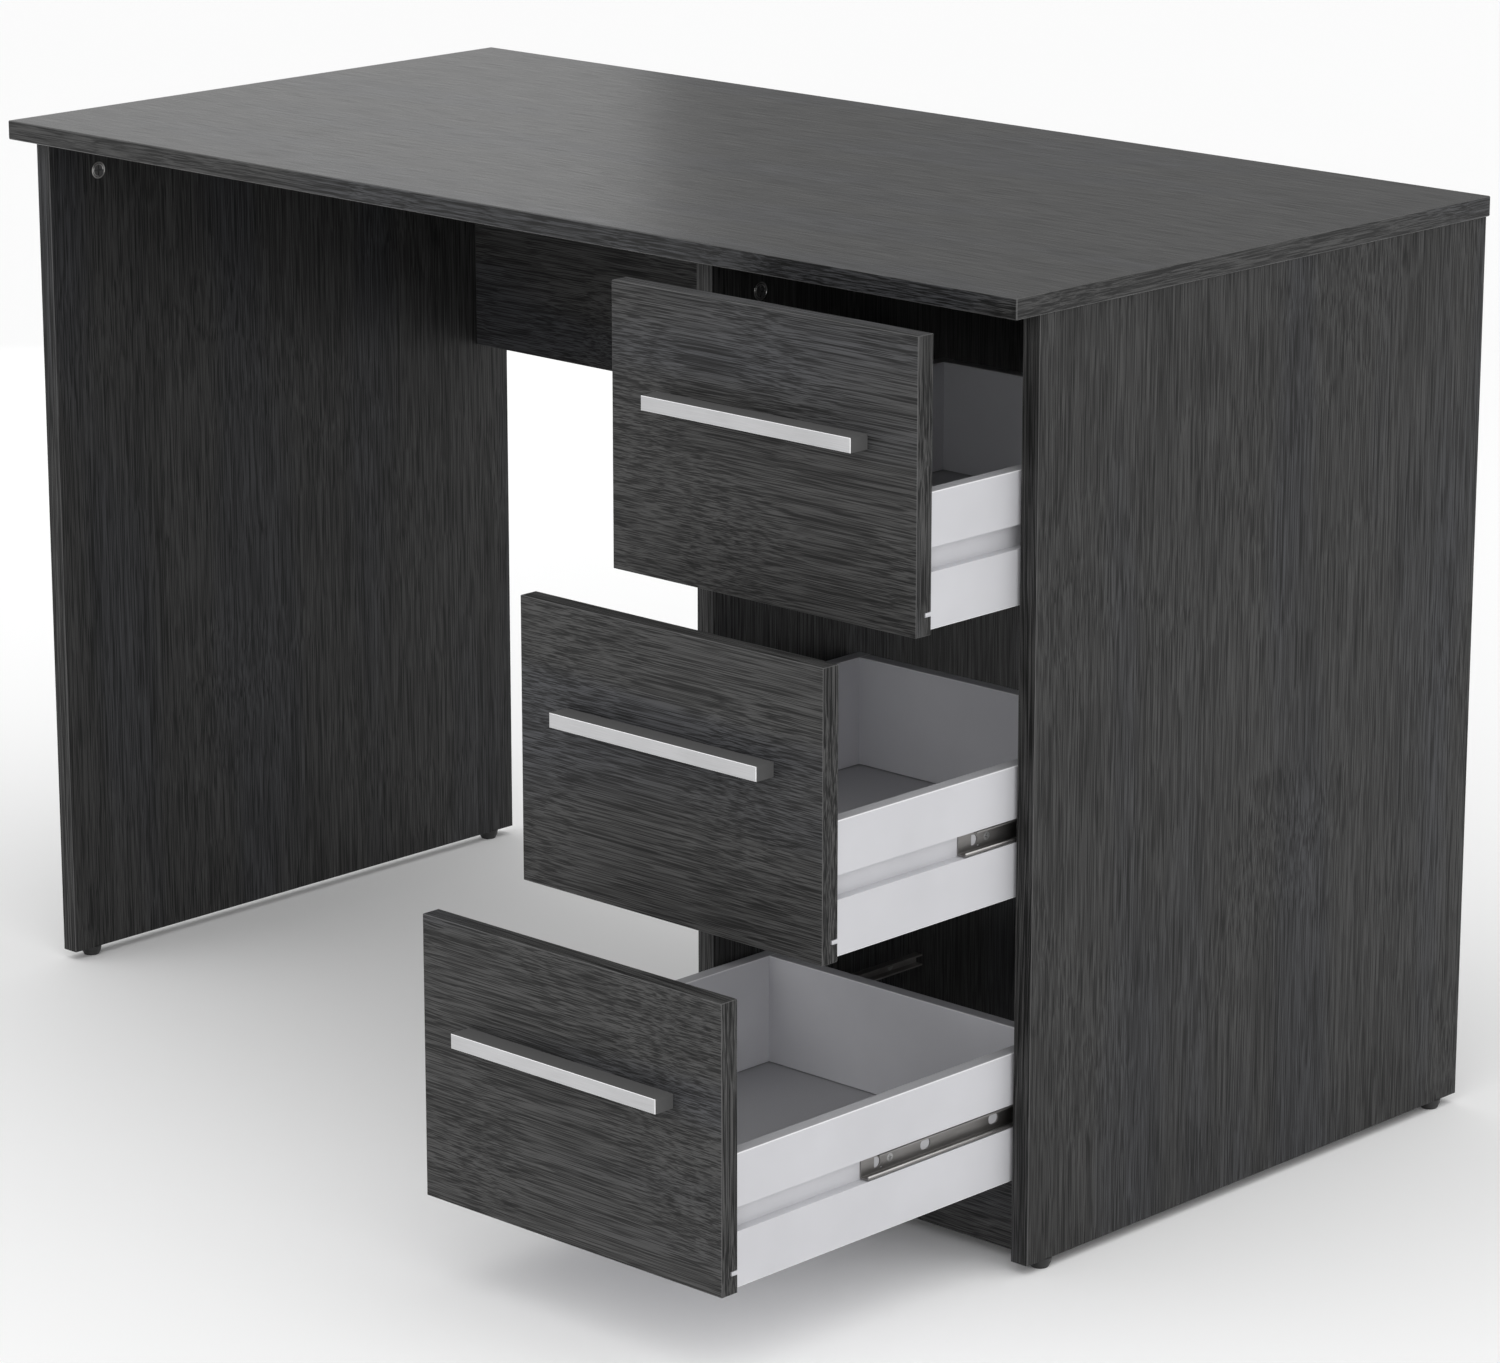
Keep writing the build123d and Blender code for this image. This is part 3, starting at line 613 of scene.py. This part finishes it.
class DESK_OT_load_ball_cages(Operator):
    """Give the cages their plastic, and set a polished steel ball in each seat"""

    bl_idname = "desk.load_ball_cages"
    bl_label = "Load ball cages"

    def execute(self, context):
        sizes = settings("runner")
        paint([f"{drawer}_ball_cages" for drawer in DRAWERS], cage_plastic())
        steel = plated_steel("ball_steel", BALL_STEEL, 0.08, TURNED_MARKS)
        for drawer in DRAWERS:
            shape = bmesh.new()
            low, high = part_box(f"{drawer}_ball_cages")
            middle = (low + high) / 2
            right, left = (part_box(f"{drawer}_drawer_{side}_channel") for side in ("right", "left"))
            for x in (right[0].x + sizes.ball_out, left[1].x - sizes.ball_out):
                for step in (-1, 0, 1):
                    for up in (-1, 1):
                        centre = (x, middle.y + step * sizes.ball_pitch,
                                  middle.z + up * sizes.ball_height)
                        bmesh.ops.create_icosphere(shape, subdivisions=2, radius=sizes.ball / 2,
                                                   matrix=Matrix.Translation(centre))
            add_piece(f"{drawer}_bearing_balls", shape, steel, f"{drawer}_cages")
        return {"FINISHED"}


# ---------------------------------------------------------------- small fittings
CAM_BOARDS = ("left_side_panel", "divider_panel", "right_side_panel", "modesty_panel",
              "bay_back_panel", "rear_rail", "plinth_rail")
FLUSH = 0.0002                 # faces this near to each other count as flush
MERGE_DISTANCE = 1e-6
STEPS_IN_A_TURN = 40


def beech():
    """Plain beech with its grain upright."""
    recipe = Recipe("dowel_beech")
    place = recipe.coords.outputs["Object"]
    grain = recipe.noise(recipe.scaled(place, (1400.0, 1400.0, 90.0)), 3.0, 0.6)
    colour = recipe.blend(recipe.between(grain, *FINE), (0.42, 0.26, 0.14, 1.0),
                          (0.62, 0.43, 0.26, 1.0))
    recipe.shade(Base_Color=colour, Roughness=0.6)
    recipe.relief(grain, 0.00008, 0.5)
    return recipe.material


def moulded_black():
    """Black plastic with the fine sparkle of a spark-eroded mould."""
    recipe = Recipe("glide_plastic")
    place = recipe.coords.outputs["Object"]
    spark = recipe.noise(recipe.scaled(place, (2200.0,) * 3), 2.0)
    colour = recipe.blend(spark, (0.012, 0.012, 0.012, 1.0), (0.03, 0.03, 0.03, 1.0))
    recipe.shade(Base_Color=colour, Roughness=recipe.between(spark, *FINE, 0.38, 0.6))
    recipe.relief(spark, 0.00003, 0.5)
    return recipe.material


def separate_solids(node):
    """The lowest and highest corners of each separate solid in a CAD node, lowest first."""
    shape = bmesh.new()
    shape.from_mesh(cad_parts[node].data)
    bmesh.ops.remove_doubles(shape, verts=shape.verts, dist=MERGE_DISTANCE)
    waiting, boxes = set(shape.verts), []
    while waiting:
        reached = [waiting.pop()]
        for vert in reached:
            near = {edge.other_vert(vert) for edge in vert.link_edges} & waiting
            waiting -= near
            reached.extend(near)
        spans = [[vert.co[axis] for vert in reached] for axis in (X, Y, Z)]
        boxes.append((Vector(map(min, spans)), Vector(map(max, spans))))
    shape.free()
    return sorted(boxes, key=lambda box: tuple(box[0]))


def faces_of_cams():
    """A place and an outward direction for each cam whose face is flush with its board's."""
    boards = [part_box(board) for board in CAM_BOARDS]
    for low, high in separate_solids("cam_locks"):
        centre = (low + high) / 2
        for board_low, board_high in boards:
            if not all(board_low[axis] < centre[axis] < board_high[axis] for axis in (X, Y, Z)):
                continue
            for axis in (X, Y):
                for end, board_end, way in ((high, board_high, 1), (low, board_low, -1)):
                    if abs(end[axis] - board_end[axis]) < FLUSH:
                        place = centre.copy()
                        place[axis] = end[axis]
                        outward = Vector((0.0, 0.0, 0.0))
                        outward[axis] = way
                        yield place, outward


def raised_ring(radius, width, height, turn):
    """A flat-topped ring with sloping flanks round Z, sunk into the face at zero as deep as it
    stands out."""
    inner, outer = radius - width / 2, radius + width / 2
    slope = width / 4
    profile = [(inner, -height), (inner, 0.0), (inner + slope, height), (outer - slope, height),
               (outer, 0.0), (outer, -height)]
    shape = bmesh.new()
    verts = [shape.verts.new((across, 0.0, up)) for across, up in profile]
    edges = [shape.edges.new(pair) for pair in zip(verts, verts[1:] + verts[:1])]
    bmesh.ops.spin(shape, geom=verts + edges, cent=(0, 0, 0), axis=(0, 0, 1), angle=turn,
                   steps=round(STEPS_IN_A_TURN * turn / math.tau),
                   use_merge=math.isclose(turn, math.tau))
    bmesh.ops.holes_fill(shape, edges=shape.edges, sides=len(profile))
    bmesh.ops.recalc_face_normals(shape, faces=shape.faces)
    ring = bpy.data.meshes.new("ring")
    shape.to_mesh(ring)
    shape.free()
    return ring


class DESK_OT_emboss_cams(Operator):
    """Emboss each cam's face with its rim and the arc round its cross slot"""

    bl_idname = "desk.emboss_cams"
    bl_label = "Emboss cams"

    def execute(self, context):
        sizes = settings("cam")
        rings = [raised_ring(sizes.rim, sizes.line, sizes.emboss, math.tau),
                 raised_ring(sizes.arc, sizes.line, sizes.emboss, sizes.arc_turn)]
        shape = bmesh.new()
        for place, outward in faces_of_cams():
            turned = outward.to_track_quat("Z", "Y").to_matrix().to_4x4()
            for ring in rings:
                stamp = ring.copy()
                stamp.transform(Matrix.Translation(place) @ turned)
                shape.from_mesh(stamp)
                bpy.data.meshes.remove(stamp)
        for ring in rings:
            bpy.data.meshes.remove(ring)
        if not shape.faces:
            raise RuntimeError("no cam's face is flush with its board's")
        # painted highlight: the raised lines take the lighter bead colour rather than the cam's zinc
        steel = plated_steel("emboss_zinc", settings("metal").bead, 0.3, CAM_MARKS)
        add_piece("cam_embossing", shape, steel, "cabinet", smooth=False)
        return {"FINISHED"}


class DESK_OT_finish_fittings(Operator):
    """Finish cams, bolts, screws, dowels and glides"""

    bl_idname = "desk.finish_fittings"
    bl_label = "Finish fittings"

    def execute(self, context):
        colour = settings("metal").fitting
        cast = tuple(0.5 * part for part in colour)
        zinc = plated_steel("cam_zinc", cast, 0.45, CAM_MARKS)
        screw_steel = plated_steel("screw_steel", colour, 0.28, TURNED_MARKS)
        paint(["cam_locks"] + [f"{drawer}_drawer_cam_fittings" for drawer in DRAWERS], zinc)
        screws = ("drawer_handle_screws", "drawer_back_screws", "drawer_channel_screws")
        paint([f"{drawer}_{kind}" for drawer in DRAWERS for kind in screws], screw_steel)
        paint(["cam_bolts", "cabinet_channel_screws"], screw_steel)
        paint(["dowels"], beech())
        paint(["foot_glides"], moulded_black())
        return {"FINISHED"}


# ---------------------------------------------------------------- studio
FLOOR_SIZE = 40.0
SKY_TURN, SKY_HEIGHT, SKY_SPREAD = math.radians(45), math.radians(48), math.radians(140)
GLEAM_PLACE, GLEAM_DIRECTION, GLEAM_SIZE = (-2.96, 1.23, 1.25), (1.0, -1.0, 0.0), (2.6, 2.2)
# What the camera looks at: its place across the desk, how far behind the desktop's middle it is,
# and its height.
AIM_ACROSS, AIM_BEHIND, AIM_HEIGHT = 0.027, 0.006, 0.307


def aim_at(holder, direction):
    """Turn a light or a camera so that it looks along direction."""
    holder.rotation_euler = direction.to_track_quat("-Z", "Y").to_euler()


def add_holder(name, data):
    """Put a light or a camera in the scene."""
    holder = bpy.data.objects.new(name, data)
    bpy.context.scene.collection.objects.link(holder)
    return holder


def gleam_panel(power):
    """A wide panel of light at the back left, which the desktop reflects."""
    light = bpy.data.lights.new("gleam", "AREA")
    light.shape = "RECTANGLE"
    light.size, light.size_y = GLEAM_SIZE
    light.energy = power
    holder = add_holder("gleam", light)
    holder.location = GLEAM_PLACE
    holder.visible_camera = False
    aim_at(holder, Vector(GLEAM_DIRECTION))


def wide_sky(strength):
    """An even light from a wide patch of sky, at the front right and high up."""
    light = bpy.data.lights.new("sky", "SUN")
    light.energy = strength
    light.angle = SKY_SPREAD
    source = Vector((math.sin(SKY_TURN) * math.cos(SKY_HEIGHT),
                     -math.cos(SKY_TURN) * math.cos(SKY_HEIGHT), math.sin(SKY_HEIGHT)))
    aim_at(add_holder("sky", light), -source)


def pale_floor(colour):
    """A wide floor of matt paint with faint clouds."""
    recipe = Recipe("floor_paint")
    place = recipe.coords.outputs["Object"]
    cloud = recipe.noise(recipe.scaled(place, (0.7, 0.7, 0.7)), 2.0)
    recipe.shade(Base_Color=recipe.blend(cloud, solid(colour, 0.985), solid(colour)),
                 Roughness=0.9, Specular_IOR_Level=0.1)
    bpy.ops.mesh.primitive_plane_add(size=FLOOR_SIZE, location=(0.0, 0.0, 0.0))
    floor = bpy.context.object
    floor.name = "studio_floor"
    floor.data.materials.append(recipe.material)


def surround(strength):
    """White to the camera, and a dimmer even light on the desk."""
    world = bpy.data.worlds.new("studio_air")
    world.use_nodes = True
    nodes, links = world.node_tree.nodes, world.node_tree.links
    background = nodes["Background"]
    seen = nodes.new("ShaderNodeLightPath")
    level = nodes.new("ShaderNodeMapRange")
    level.inputs["To Min"].default_value = strength
    links.new(seen.outputs["Is Camera Ray"], level.inputs["Value"])
    links.new(level.outputs[0], background.inputs["Strength"])
    background.inputs["Color"].default_value = (1.0, 1.0, 1.0, 1.0)
    bpy.context.scene.world = world


class DESK_OT_set_studio(Operator):
    """Set the floor, the lights and the camera"""

    bl_idname = "desk.set_studio"
    bl_label = "Set studio"

    def execute(self, context):
        studio = settings("studio")
        pale_floor(studio.floor)
        surround(studio.surround)
        wide_sky(studio.sky)
        gleam_panel(studio.gleam)

        lens = bpy.data.cameras.new("camera")
        lens.lens = studio.lens
        camera = add_holder("camera", lens)
        low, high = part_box("desktop")
        middle = (low + high) / 2
        turn, away = studio.camera_turn, studio.camera_distance
        camera.location = (middle.x + away * math.sin(turn), middle.y - away * math.cos(turn),
                           studio.camera_height)
        aim = Vector((AIM_ACROSS, middle.y + AIM_BEHIND, AIM_HEIGHT))
        aim_at(camera, aim - camera.location)
        context.scene.camera = camera
        context.scene.view_settings.view_transform = "Standard"
        return {"FINISHED"}


# ---------------------------------------------------------------- panel and registration
STEPS = (
    DESK_OT_finish_boards,
    DESK_OT_wrap_drawer_boxes,
    DESK_OT_finish_handles,
    DESK_OT_finish_runners,
    DESK_OT_roll_channel_lips,
    DESK_OT_load_ball_cages,
    DESK_OT_finish_fittings,
    DESK_OT_emboss_cams,
    DESK_OT_set_studio,
)
GROUPS = {
    "decor": DecorSettings,
    "foil": FoilSettings,
    "runner": RunnerSettings,
    "cam": CamSettings,
    "metal": MetalSettings,
    "studio": StudioSettings,
}


class DESK_PT_finishes(Panel):
    """Lists the desk's settings and the steps that dress it"""

    bl_idname = "DESK_PT_finishes"
    bl_label = "Desk finishes"
    bl_space_type = "VIEW_3D"
    bl_region_type = "UI"
    bl_category = "Desk"

    def draw(self, context):
        for name, group in GROUPS.items():
            box = self.layout.box()
            box.label(text=name.capitalize())
            for prop in group.__annotations__:
                box.prop(settings(name), prop)
        for step in STEPS:
            self.layout.operator(step.bl_idname)


def register():
    for cls in (*GROUPS.values(), *STEPS, DESK_PT_finishes):
        bpy.utils.register_class(cls)
    for name, group in GROUPS.items():
        setattr(bpy.types.Scene, f"desk_{name}", PointerProperty(type=group))


def unregister():
    for name in GROUPS:
        delattr(bpy.types.Scene, f"desk_{name}")
    for cls in reversed((*GROUPS.values(), *STEPS, DESK_PT_finishes)):
        bpy.utils.unregister_class(cls)


def main():
    register()
    for step in STEPS:
        group, name = step.bl_idname.split(".")
        getattr(getattr(bpy.ops, group), name)()


if __name__ == "__main__":
    main()
